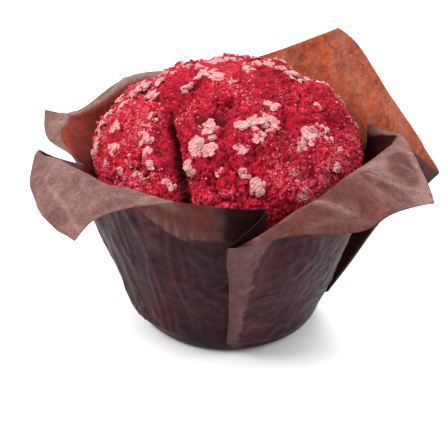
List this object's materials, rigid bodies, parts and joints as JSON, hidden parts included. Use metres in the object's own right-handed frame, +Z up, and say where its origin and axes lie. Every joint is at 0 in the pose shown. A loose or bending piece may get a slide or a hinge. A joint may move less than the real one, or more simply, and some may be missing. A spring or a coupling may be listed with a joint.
{
  "type": "muffin",
  "caption": "Domed red cake with a craggy, split top and fused sugar nibs, baked in a case of folded square brown paper whose corners flare as petals.",
  "frame": {"origin": "centre of the flat underside of the paper case, where the muffin stands", "axes": "+Z up; -Y towards the viewer of the picture; +X to the viewer's right"},
  "size_m": [0.1209, 0.1197, 0.0792],
  "materials": {
    "paper": "thin brown baking paper, dark and slightly glossy where grease has soaked in, dry and lighter on the petals",
    "crumb": "moist crimson cake crumb dusted with pale pink sugar"
  },
  "bodies": {
    "root": {"paper_case": "paper", "cake": "crumb"}
  },
  "joints": []
}
